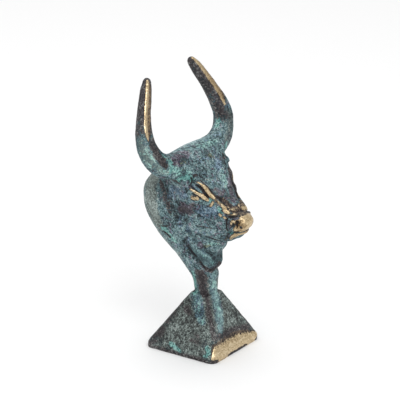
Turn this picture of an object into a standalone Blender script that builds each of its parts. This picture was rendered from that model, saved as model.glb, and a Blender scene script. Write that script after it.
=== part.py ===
"""A minotaur bust: a bull's head and neck cast in one piece with a small pyramid plinth.

Metres, +Z up. The origin is the middle of the plinth's underside, and the bull faces -Y.
The plinth has its own sizes. The figure is drawn in units of its own height, counted from
the plinth's top to the tip of the higher horn, and point() turns that into metres.
"""

import math

import bmesh
import bpy
import numpy as np
from mathutils import Matrix, Vector

# Driving dimensions
OVERALL_HEIGHT = 0.126
PLINTH_SIDE = 0.037
PLINTH_FOOT = 0.0024
PLINTH_RISE = 0.025
PLINTH_TOP_SIDE = 0.0108
PLINTH_CORNER = 0.0034
PLINTH_LEAN = 0.0019
FIGURE_FORWARD = 0.0006
SURFACE_CELL = 0.0005
MOST_TRIANGLES = 9400
SOFTENING = 12
BLENDING = 90
EASE = 0.5

# The drawing of the figure: how many units high it is, and one unit in metres
DRAWN_HEIGHT = 101.0
UNIT = (OVERALL_HEIGHT - PLINTH_RISE) / DRAWN_HEIGHT

# The neck from the plinth up to the nape: height, throat, nape and half width
NECK = (
    (-6.0, -5.6, 3.1, 4.0),
    (0.0, -6.4, 3.9, 4.4),
    (4.0, -6.8, 4.4, 4.6),
    (7.4, -7.2, 5.6, 5.0),
    (12.6, -7.8, 9.6, 6.6),
    (17.7, -7.4, 13.9, 8.2),
    (22.3, -8.4, 19.4, 9.6),
    (27.1, -9.0, 24.0, 10.8),
    (34.6, -6.0, 28.7, 12.0),
    (42.0, -2.0, 29.8, 12.2),
    (47.0, 2.0, 28.8, 11.8),
    (51.5, 4.0, 25.4, 11.0),
    (57.0, 4.0, 20.4, 9.5),
    (63.0, 3.0, 12.0, 7.0),
)
NECK_SQUARENESS = 2.2

# The head from poll to muzzle: top line (y, z), jaw line (y, z) and half width
HEAD = (
    ((13.4, 60.0), (13.0, 44.0), 8.0),
    ((9.4, 65.4), (9.5, 36.0), 11.8),
    ((4.0, 65.8), (4.5, 31.0), 13.3),
    ((-1.8, 62.2), (-1.0, 28.0), 13.6),
    ((-6.8, 57.4), (-5.0, 26.8), 12.0),
    ((-11.0, 51.9), (-9.0, 26.0), 9.7),
    ((-14.4, 47.2), (-12.5, 25.8), 8.2),
    ((-17.4, 43.9), (-15.5, 27.3), 7.1),
    ((-20.0, 41.4), (-18.0, 29.0), 6.5),
    ((-21.8, 39.0), (-20.0, 30.4), 5.7),
    ((-22.6, 36.8), (-21.4, 32.2), 3.6),
)
SKULL_SQUARENESS = 3.4
JAW_SQUARENESS = 2.4
JAW_NARROWING = 0.22
JAW_SHARE = 0.6

# One horn from the middle of the poll to its tip: centre and radius
HORN = (
    ((0.0, 7.4, 61.5), 5.8),
    ((8.0, 6.8, 61.5), 5.8),
    ((14.0, 6.2, 61.6), 5.9),
    ((19.8, 6.0, 63.0), 5.7),
    ((25.4, 7.2, 66.4), 5.1),
    ((28.7, 9.1, 72.0), 4.6),
    ((28.3, 11.2, 77.6), 4.15),
    ((25.3, 13.7, 84.6), 3.4),
    ((21.8, 15.5, 90.6), 3.05),
    ((18.8, 17.0, 95.2), 2.75),
    ((16.9, 17.9, 97.9), 2.25),
)
HORN_FACET = 0.72
# The turns of the rings that close the tip, and the tip's length over its radius
TIP_TURNS = (20, 40, 60, 75, 86)
TIP_LENGTH = 1.15
# The left horn is drawn out above a height, to the lift at the tip
LEFT_HORN_LIFT = 0.9
LIFT_FROM = 70.0
LIFT_OVER = 30.0

# Rounded lumps: centre, half sizes and the pitch of the second size below level
LUMPS = (
    ("nose pad", (0.0, -20.4, 36.4), (6.1, 4.0, 5.1), 20.0),
    ("lower lip", (0.0, -16.5, 31.8), (4.6, 4.2, 2.6), 20.0),
    ("dewlap", (0.0, -3.7, 14.9), (5.6, 4.8, 4.5), 0.0),
    ("throat", (0.0, -6.6, 24.8), (7.0, 4.8, 4.4), 20.0),
    ("forelock", (0.0, 3.6, 62.2), (14.0, 5.0, 4.6), 35.0),
)
SIDE_LUMPS = (
    ("brow", (8.8, -4.3, 55.3), (3.6, 6.2, 3.2), 48.0),
    ("cheek", (5.4, -3.6, 36.8), (6.6, 8.6, 10.0), 0.0),
    ("temple", (12.0, 3.4, 57.6), (4.6, 6.4, 6.0), 0.0),
    ("horn root", (14.0, 3.8, 61.0), (5.4, 4.8, 4.8), 0.0),
)

# Places on the right half, mirrored too, that run smoothly together: middle and reach
BLENDS = (
    ((-14.0, 2.0, 60.0), 13.0),
    ((-6.0, -2.0, 60.0), 12.0),
    ((-11.0, 9.0, 44.0), 12.0),
    ((-6.0, -8.0, 28.0), 9.0),
    ((-5.0, -3.0, 12.0), 9.0),
)

# Modelled lines on the right half, mirrored to the left: height (less than nothing is
# a groove), half width and the points that the line runs through
LINES = {
    "upper eyelid": (0.5, 1.4, (
        (-12.6, -4.4, 56.4), (-11.8, -7.1, 54.6), (-9.3, -10.1, 50.3), (-8.0, -11.9, 48.3))),
    "lower eyelid": (0.6, 1.3, ((-13.3, -2.0, 52.3), (-12.0, -6.8, 49.8), (-10.3, -9.8, 47.5))),
    "eyeball": (0.4, 1.8, ((-12.6, -3.6, 54.2), (-12.0, -6.0, 53.0))),
    "eye crease": (-0.7, 1.1, ((-12.2, -6.0, 54.5), (-11.6, -8.1, 52.3), (-10.2, -9.7, 48.9))),
    "brow groove": (-0.9, 1.7, (
        (-9.6, -5.4, 58.2), (-8.3, -9.2, 54.0), (-6.8, -12.1, 49.3), (-5.4, -14.8, 46.2))),
    "face crest": (0.7, 1.4, ((-8.6, -10.9, 49.3), (-7.0, -14.4, 45.4), (-6.2, -17.9, 41.6))),
    "muzzle wrinkle": (0.7, 1.4, ((-5.4, -17.3, 43.0), (-1.8, -18.5, 43.2), (0.0, -18.7, 43.3))),
    "muzzle crease": (-0.7, 1.2, ((-6.8, -17.8, 40.4), (-2.5, -20.7, 40.9), (0.0, -21.3, 40.9))),
    "nostril": (-1.4, 1.5, ((-6.5, -19.7, 36.7), (-5.2, -21.4, 38.4))),
    "nostril rim": (0.7, 1.1, ((-6.9, -18.2, 35.8), (-6.6, -18.9, 38.8), (-4.6, -20.9, 40.0))),
    "mouth": (-1.0, 1.2, (
        (-6.1, -16.3, 31.8), (-5.2, -20.2, 33.2), (-3.1, -22.7, 33.9), (0.0, -23.4, 34.0))),
    "muzzle edge": (-0.7, 1.6, ((-7.2, -16.8, 41.2), (-7.1, -17.3, 37.1), (-6.0, -16.6, 31.8))),
    "jaw line": (-0.7, 1.8, (
        (-9.7, -5.0, 30.4), (-8.0, -8.0, 28.6), (-4.4, -11.4, 26.8), (0.0, -13.4, 26.4))),
    "nape crease": (-1.1, 2.6, (
        (-9.8, 15.8, 57.0), (-11.2, 13.4, 50.6), (-11.6, 9.8, 42.3), (-11.6, 6.4, 36.5))),
    "throat fold": (-1.3, 2.2, (
        (-9.9, 3.4, 26.0), (-8.3, 0.0, 19.1), (-5.9, -3.7, 13.2), (-3.0, -7.0, 11.2),
        (0.0, -8.0, 11.0))),
    "throat roll": (0.6, 2.0, ((-8.8, -1.0, 24.4), (-4.7, -6.3, 17.0), (-1.6, -7.8, 14.6))),
    "throat crease": (-0.8, 1.4, ((-7.0, -4.6, 24.2), (-4.6, -7.0, 20.5), (-1.6, -8.8, 17.6))),
    "ear": (1.5, 1.7, ((-12.2, -3.2, 58.8), (-12.0, -4.6, 57.8))),
    "ear hollow": (-0.9, 1.1, ((-12.4, -4.6, 59.6), (-12.6, -5.4, 58.2))),
}

# How finely rings, corners and lumps are drawn
RING_POINTS = 40
HORN_POINTS = 24
CORNER_POINTS = 6
LUMP_SEGMENTS = 28
LUMP_RINGS = 18
CURVE_STEPS = 4
HORN_STEPS = 6

# The patina's mean colour, and how rough and how metallic the surface is
BRONZE = (0.075, 0.13, 0.13)
ROUGHNESS = 0.55
METALLIC = 0.6


def point(x, y, z):
    """A point of the figure's drawing, in metres."""
    return Vector((x, y, z)) * UNIT + Vector((0.0, -FIGURE_FORWARD, PLINTH_RISE))


def curve_through(points, steps=CURVE_STEPS):
    """Points on a smooth curve through the given ones, steps to a span."""
    points = [np.array(p, float) for p in points]
    ends = [2 * points[0] - points[1]] + points + [2 * points[-1] - points[-2]]
    out = []
    for a, b, c, d in zip(ends, ends[1:], ends[2:], ends[3:]):
        for t in np.arange(steps) / steps:
            bend = (2 * a - 5 * b + 4 * c - d) * t**2 + (3 * b - a - 3 * c + d) * t**3
            out.append(b + 0.5 * ((c - a) * t + bend))
    return out + [points[-1]]


def rounded(angle, power):
    """The unit superellipse: power 2 is a circle, and more is squarer."""
    c, s = math.cos(angle), math.sin(angle)
    return (
        math.copysign(abs(c) ** (2 / power), c),
        math.copysign(abs(s) ** (2 / power), s),
    )


def closed_loft(name, rings):
    """A closed mesh through rings of equally many points, with flat ends."""
    mesh = bmesh.new()
    loops = [[mesh.verts.new(p) for p in ring] for ring in rings]
    for low, high in zip(loops, loops[1:]):
        for i in range(len(low)):
            j = (i + 1) % len(low)
            mesh.faces.new((low[i], low[j], high[j], high[i]))
    mesh.faces.new(list(reversed(loops[0])))
    mesh.faces.new(loops[-1])
    bmesh.ops.recalc_face_normals(mesh, faces=mesh.faces)
    return link(name, mesh)


def link(name, mesh):
    data = bpy.data.meshes.new(name)
    mesh.to_mesh(data)
    mesh.free()
    thing = bpy.data.objects.new(name, data)
    bpy.context.scene.collection.objects.link(thing)
    return thing


def plinth():
    """The pyramid with its upright foot and rounded corners."""
    levels = (
        (0.0, PLINTH_SIDE / 2),
        (PLINTH_FOOT, PLINTH_SIDE / 2),
        (PLINTH_RISE, PLINTH_TOP_SIDE / 2),
    )
    rings = []
    for z, half in levels:
        corner = min(PLINTH_CORNER, half / 3)
        lean = PLINTH_LEAN * z / PLINTH_RISE
        ring = []
        for quarter in range(4):
            middle = math.radians(90 * quarter + 45)
            for step in range(CORNER_POINTS):
                turn = math.radians(90 * (quarter + step / (CORNER_POINTS - 1)))
                ring.append(
                    (
                        math.copysign(half - corner, math.cos(middle)) + corner * math.cos(turn),
                        math.copysign(half - corner, math.sin(middle)) + corner * math.sin(turn) - lean,
                        z,
                    )
                )
        rings.append(ring)
    return closed_loft("plinth", rings)


def neck():
    rings = []
    for z, front, back, half in curve_through(NECK):
        ring = []
        for i in range(RING_POINTS):
            across, along = rounded(math.tau * i / RING_POINTS, NECK_SQUARENESS)
            ring.append(point(half * across, (front + back) / 2 + (back - front) / 2 * along, z))
        rings.append(ring)
    return closed_loft("neck", rings)


def head():
    rows = [(*top, *bottom, half) for top, bottom, half in HEAD]
    rings = []
    for y_top, z_top, y_low, z_low, half in curve_through(rows):
        ring = []
        for i in range(RING_POINTS):
            turn = math.tau * i / RING_POINTS
            across, up = rounded(turn, SKULL_SQUARENESS if turn < math.pi else JAW_SQUARENESS)
            share = (1 + up) / 2
            wide = half * (1 - JAW_NARROWING * max(0.0, 1 - share / JAW_SHARE))
            ring.append(
                point(
                    wide * across,
                    y_low + (y_top - y_low) * share,
                    z_low + (z_top - z_low) * share,
                )
            )
        rings.append(ring)
    return closed_loft("head", rings)


def horn(side):
    """One horn with half of the poll, swept along its path."""
    rows = [(*centre, radius) for centre, radius in HORN]
    path = [np.array(row) for row in curve_through(rows, HORN_STEPS)]
    tip, along = path[-1], path[-1][:3] - path[-2][:3]
    along = along / np.linalg.norm(along)
    for degrees in TIP_TURNS:
        turn = math.radians(degrees)
        reach = tip[3] * TIP_LENGTH * math.sin(turn)
        path.append(np.append(tip[:3] + along * reach, tip[3] * math.cos(turn)))
    rings = []
    for i, row in enumerate(path):
        before, after = path[max(i - 1, 0)], path[min(i + 1, len(path) - 1)]
        along = Vector(after[:3] - before[:3]).normalized()
        front = (Vector((0, -1, 0)) - along * along.dot(Vector((0, -1, 0)))).normalized()
        other = along.cross(front)
        ring = []
        for k in range(HORN_POINTS):
            turn = math.tau * k / HORN_POINTS
            forward = min(math.cos(turn), HORN_FACET)
            offset = (front * forward + other * math.sin(turn)) * row[3]
            place = Vector(row[:3]) + offset
            lift = LEFT_HORN_LIFT * max(0.0, place.z - LIFT_FROM) / LIFT_OVER if side > 0 else 0.0
            ring.append(point(side * place.x, place.y, place.z + lift))
        rings.append(ring)
    return closed_loft("horn", rings)


def lump(name, centre, sizes, pitch, side=1):
    """An ellipsoid whose long side is pitched down towards the muzzle."""
    mesh = bmesh.new()
    bmesh.ops.create_uvsphere(mesh, u_segments=LUMP_SEGMENTS, v_segments=LUMP_RINGS, radius=1.0)
    turn = Matrix.Rotation(math.radians(pitch), 3, "X")
    for vert in mesh.verts:
        local = turn @ Vector(a * b for a, b in zip(vert.co, sizes))
        place = Vector(centre) + local
        vert.co = point(side * place.x, place.y, place.z)
    if side < 0:
        bmesh.ops.reverse_faces(mesh, faces=mesh.faces)
    return link(name, mesh)


def fused(things, name):
    """Joins the overlapping forms into one skin of even cells."""
    bpy.ops.object.select_all(action="DESELECT")
    for thing in things:
        thing.select_set(True)
    bpy.context.view_layer.objects.active = things[0]
    bpy.ops.object.join()
    body = things[0]
    body.name = body.data.name = name
    remesh = body.modifiers.new("skin", "REMESH")
    remesh.mode = "VOXEL"
    remesh.voxel_size = SURFACE_CELL
    soft = body.modifiers.new("soft", "SMOOTH")
    soft.factor = EASE
    soft.iterations = SOFTENING
    graph = bpy.context.evaluated_depsgraph_get()
    smooth = bpy.data.meshes.new_from_object(body.evaluated_get(graph))
    body.modifiers.clear()
    body.data = smooth
    return body


def away_from(path, places):
    """How far each place is from a path of straight steps."""
    nearest = np.full(len(places), np.inf)
    for a, b in zip(path, path[1:]):
        share = np.clip((places - a) @ (b - a) / ((b - a) @ (b - a)), 0.0, 1.0)
        nearest = np.minimum(nearest, np.linalg.norm(places - a - share[:, None] * (b - a), axis=1))
    return nearest


def blend(body):
    """Runs the forms together round the named places, as a modeller's thumb does."""
    mesh = body.data
    count = len(mesh.vertices)
    places = np.zeros(count * 3)
    mesh.vertices.foreach_get("co", places)
    places = places.reshape(-1, 3)
    ends = np.zeros(len(mesh.edges) * 2, int)
    mesh.edges.foreach_get("vertices", ends)
    first, second = ends.reshape(-1, 2).T
    neighbours = np.bincount(ends, minlength=count)
    share = np.zeros(count)
    for (x, y, z), reach in BLENDS:
        for middle in (point(x, y, z), point(-x, y, z)):
            away = np.linalg.norm(places - middle, axis=1) / (reach * UNIT)
            share = np.maximum(share, np.clip(1 - away**2, 0, 1))
    for _ in range(BLENDING):
        for axis in range(3):
            line = places[:, axis]
            total = np.bincount(first, line[second], count) + np.bincount(second, line[first], count)
            places[:, axis] += EASE * share * (total / neighbours - line)
    mesh.vertices.foreach_set("co", places.ravel())
    mesh.update()


def model_lines(body):
    """Raises and sinks the skin along the modelled lines of both halves."""
    mesh = body.data
    for height, width, points in LINES.values():
        places = np.array([v.co for v in mesh.vertices])
        normals = np.array([v.normal for v in mesh.vertices])
        path = np.array([point(*p) for p in curve_through(points)])
        near = np.minimum(away_from(path, places), away_from(path * (-1, 1, 1), places))
        reach = np.clip(near / (width * UNIT), 0, 1)
        rise = height * UNIT * (1 - reach * reach) ** 2
        places += normals * rise[:, None]
        mesh.vertices.foreach_set("co", places.ravel())
        mesh.update()


def with_fewer_faces(body, most):
    """Merges faces where the skin is plain until no more than the most are left."""
    mesh = body.data
    mesh.calc_loop_triangles()
    thin = body.modifiers.new("fewer faces", "DECIMATE")
    thin.ratio = most / len(mesh.loop_triangles)
    graph = bpy.context.evaluated_depsgraph_get()
    less = bpy.data.meshes.new_from_object(body.evaluated_get(graph))
    body.modifiers.clear()
    body.data = less


def joined(body, other):
    """The two overlapping solids as one."""
    union = body.modifiers.new("union", "BOOLEAN")
    union.operation = "UNION"
    union.object = other
    graph = bpy.context.evaluated_depsgraph_get()
    whole = bpy.data.meshes.new_from_object(body.evaluated_get(graph))
    body.modifiers.clear()
    body.data = whole
    bpy.data.objects.remove(other, do_unlink=True)


def patinated_bronze():
    material = bpy.data.materials.new("patinated bronze")
    material.use_nodes = True
    shader = material.node_tree.nodes["Principled BSDF"]
    shader.inputs["Base Color"].default_value = (*BRONZE, 1.0)
    shader.inputs["Roughness"].default_value = ROUGHNESS
    shader.inputs["Metallic"].default_value = METALLIC
    return material


def main():
    for old in list(bpy.data.objects):
        bpy.data.objects.remove(old, do_unlink=True)
    collection = bpy.data.collections.new("minotaur bust")
    bpy.context.scene.collection.children.link(collection)
    forms = [neck(), head()]
    forms += [lump(*row) for row in LUMPS]
    for side in (1, -1):
        forms.append(horn(side))
        forms += [lump(*row, side) for row in SIDE_LUMPS]
    bust = fused(forms, "minotaur_bust")
    blend(bust)
    model_lines(bust)
    with_fewer_faces(bust, MOST_TRIANGLES)
    joined(bust, plinth())
    bust.data.materials.clear()
    bust.data.materials.append(patinated_bronze())
    bpy.context.scene.collection.objects.unlink(bust)
    collection.objects.link(bust)


main()
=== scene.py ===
"""A small cast bronze bust of a minotaur: mottled patina, with rubbed high places."""

import math
from collections import namedtuple

import bmesh
import bpy
import numpy as np
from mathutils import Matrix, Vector, noise


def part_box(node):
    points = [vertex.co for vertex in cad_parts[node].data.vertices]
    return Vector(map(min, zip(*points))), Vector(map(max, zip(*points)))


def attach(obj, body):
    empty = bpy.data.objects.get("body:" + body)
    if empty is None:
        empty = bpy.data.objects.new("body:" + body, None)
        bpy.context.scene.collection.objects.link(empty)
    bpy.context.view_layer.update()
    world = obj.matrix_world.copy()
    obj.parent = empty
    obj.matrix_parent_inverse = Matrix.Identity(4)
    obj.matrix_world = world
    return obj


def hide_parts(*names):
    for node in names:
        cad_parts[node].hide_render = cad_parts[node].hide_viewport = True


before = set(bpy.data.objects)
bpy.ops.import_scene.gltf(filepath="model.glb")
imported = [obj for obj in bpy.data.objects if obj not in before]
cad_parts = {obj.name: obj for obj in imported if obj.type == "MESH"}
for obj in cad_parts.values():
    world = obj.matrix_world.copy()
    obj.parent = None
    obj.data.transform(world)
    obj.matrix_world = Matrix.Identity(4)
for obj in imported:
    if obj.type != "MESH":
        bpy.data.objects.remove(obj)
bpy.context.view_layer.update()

# The casting's own measure: it is 126 units high, the plinth 25 of them
LOW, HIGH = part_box("minotaur_bust")
UNIT = (HIGH[2] - LOW[2]) / 126.0
PLINTH = 25.0

# The skin: its cell, how often its facets are eased, and its most triangles
SKIN_CELL = 0.27 * UNIT
EASING = 16
MOST_TRIANGLES = 192000

# The swells that the mould leaves, each as height, size of its lumps in units, and seed
SWELLS = ((0.09, 4.0, 1), (0.06, 1.4, 2))
# Below this height, in units, the underside is flat
FLAT_FOOT = 0.3
# A place's hollow is its depth under the skin that this many rounds of easing leave
HOLLOW_EASING = 30
HOLLOW_GAIN = 4.0

# The view of the photograph: degrees, units, and a 400 pixel picture
VIEW_AZIMUTH = -55.5
VIEW_ELEVATION = 20.65
VIEW_DISTANCE = 1200.0
VIEW_TARGET = (0.0, 1.4, 67.35)
VIEW_FOCUS = 2742.0
PICTURE = 400.0
SENSOR = 36.0

# The studio, in metres and watts: each light's place, side and power
KEY_LIGHT = ((-0.35, -0.45, 0.75), 0.5, 2.5)
TOP_LIGHT = ((0.2, 0.3, 0.8), 0.6, 1.5)
WORLD_STRENGTH = 0.84
FLOOR_HALF_SIDE = 3.0
FLOOR_WHITES = ((0.9, 0.9, 0.9), (0.92, 0.92, 0.92))


def srgb(red, green, blue):
    """A colour as a screen shows it, 0 to 255, as the light that it stands for."""
    parts = [c / 255 for c in (red, green, blue)]
    return tuple(c / 12.92 if c <= 0.04045 else ((c + 0.055) / 1.055) ** 2.4 for c in parts)


# A stroke is a line on the casting. Its points are x, y, the height over the plinth's
# top and the stroke's half width, in units. It may raise the skin (or cut it, when the
# rise is less than nothing) and lay any of the MASKS. The points lie on the bust's right
# half, and sides says where the stroke goes. A facing keeps it to the faces that look
# that way. Strokes thinner than THIN_STROKE are settled on the skin before they are laid.
Stroke = namedtuple("Stroke", "points rise sides facing masks")
THIN_STROKE = 2.7
FRONT = (0.0, -1.0, 0.0)
SIDE = (-1.0, 0.0, 0.0)
# A facing takes hold from the first cosine and is whole this much further on
FACING_FROM = 0.35
FACING_OVER = 0.25

# What a stroke may lay on the skin, each from nothing to one:
# worn      rubbed through the patina, brown at first and then bare brass
# tarnish   bare brass browned again, partly by tarnishing and partly as a painted darker reflection
# soil      dirt that hides the bare brass
# dark      brown-black oxide; some strokes lay it as painted shade and shadow
# green     verdigris
# grey      the patina's blue gone grey
# teal      holds the grey off
# blue, mauve, olive   more of that colour's drifts
# pale, deep   lighter or darker in the same colour; some strokes lay pale as a painted highlight and deep as painted shade
# even      smooth, with fewer patches and specks
# hatch     fine slanting scratches
MASKS = (
    "worn", "tarnish", "soil", "dark", "green", "grey", "teal", "blue", "mauve", "olive", "pale",
    "deep", "even", "hatch")


def stroke(*points, rise=0.0, sides="both", facing=None, **masks):
    """A stroke through its points, with the masks that it lays by their names."""
    return Stroke(points, rise, sides, facing, masks)


def on_the_left(group, back, flatter):
    """The right eye's strokes for the left eye, set back and flatter."""
    left = {}
    for name, mark in group.items():
        points = tuple((x, y + back, z, half) for x, y, z, half in mark.points)
        left[name] = mark._replace(points=points, rise=mark.rise * flatter, sides="left")
    return left


EYE = {
    "upper eyelid": stroke(
        (-12.8, -3.7, 56.0, 0.35), (-12.5, -5.6, 55.9, 0.5), (-12.2, -7.5, 55.0, 0.65),
        (-11.7, -9.3, 53.8, 1.2), (-10.7, -10.7, 51.9, 1.75), (-9.5, -11.4, 50.1, 1.6),
        (-9.2, -12.2, 49.0, 1.0), rise=0.4, worn=1.0, sides="right"),
    "eye slit": stroke(
        (-12.6, -5.4, 54.6, 0.6), (-11.9, -7.2, 53.3, 0.9), (-11.3, -8.4, 51.4, 1.0),
        (-10.1, -9.4, 49.3, 0.8), rise=-0.6, dark=1.0, sides="right"),
    "eyeball": stroke(
        (-13.2, -4.2, 54.4, 1.0), (-12.9, -6.0, 53.0, 1.1), (-11.9, -7.5, 51.0, 0.8),
        rise=0.35, green=0.5, blue=0.8, sides="right"),
    "lower eyelid": stroke(
        (-13.8, -3.1, 52.5, 0.6), (-13.2, -5.1, 51.5, 0.9), (-12.2, -7.0, 50.3, 1.2),
        (-11.4, -8.5, 49.2, 1.4), (-10.6, -9.8, 48.0, 0.9), rise=0.45, worn=1.0, sides="right"),
    "crease under the eye": stroke(
        (-13.5, -4.0, 50.2, 0.8), (-12.3, -7.0, 48.7, 0.8), rise=-0.3, dark=0.4, sides="right"),
    "rubbed lump under the eye": stroke(
        (-13.1, -3.8, 48.4, 1.5), (-12.3, -5.6, 48.4, 1.3), rise=0.25, worn=0.72, sides="right"),
    "rubbed fleck before the eye": stroke(
        (-9.6, -10.7, 45.2, 0.9), (-8.9, -11.5, 46.7, 0.9), rise=0.15, worn=0.75, sides="right"),
    "green eye corner": stroke((-9.6, -10.4, 47.6, 1.4), green=0.9, sides="right"),
    "brow groove": stroke(
        (-11.0, -6.7, 56.6, 0.7), (-10.0, -8.3, 55.2, 0.7), (-8.8, -9.8, 53.4, 0.8),
        (-8.0, -11.2, 51.2, 1.0), (-7.2, -12.4, 49.4, 1.2), rise=-0.4, dark=0.8, sides="right"),
    "foot of the brow": stroke(
        (-7.0, -12.4, 49.6, 1.2), (-6.0, -13.6, 48.0, 1.5), (-4.6, -15.4, 46.4, 1.7),
        (-3.6, -16.8, 45.1, 1.5), rise=-0.25, dark=0.9, deep=0.4, worn=0.34, sides="right"),
    "dark specks on the brow": stroke(
        (-6.4, -11.0, 51.8, 1.6), (-4.4, -12.8, 49.8, 1.9), (-2.0, -14.6, 47.8, 2.0),
        (0.0, -16.4, 46.2, 1.8), dark=0.42, mauve=0.6, deep=0.4, sides="right"),
    "thin face crest": stroke(
        (-9.0, -12.5, 48.6, 0.8), (-8.1, -13.1, 47.3, 0.9), (-7.2, -14.6, 46.1, 1.0), rise=0.3,
        worn=0.62, sides="right"),
    "face crest": stroke(
        (-7.0, -14.9, 45.8, 1.0), (-6.6, -16.0, 44.7, 1.4), (-6.9, -16.6, 43.5, 1.5),
        (-6.5, -17.8, 42.5, 1.1), rise=0.4, worn=0.95, sides="right"),
    "green by the crest": stroke(
        (-8.3, -14.0, 44.2, 1.3), (-7.9, -15.2, 42.6, 1.0), green=0.8, sides="right"),
    "flecks under the crest": stroke(
        (-8.0, -14.3, 41.5, 0.8), (-7.8, -15.0, 40.9, 0.8), rise=0.15, worn=0.75, sides="right"),
    "fleck before the crease": stroke(
        (-7.1, -16.2, 40.3, 0.8), (-6.7, -16.8, 39.8, 0.7), rise=0.15, worn=0.75, sides="right"),
    "ear hollow": stroke(
        (-12.9, -4.3, 58.8, 0.9), (-11.3, -4.8, 58.7, 0.9), rise=-0.25, dark=1.0, sides="right"),
    "ear edge": stroke(
        (-13.2, -3.0, 57.5, 0.7), (-13.0, -3.3, 56.2, 0.5), (-13.3, -3.0, 54.8, 0.4),
        rise=-0.2, dark=0.6, sides="right"),
}
LEFT_EYE = on_the_left(EYE, back=1.9, flatter=0.3)

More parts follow.
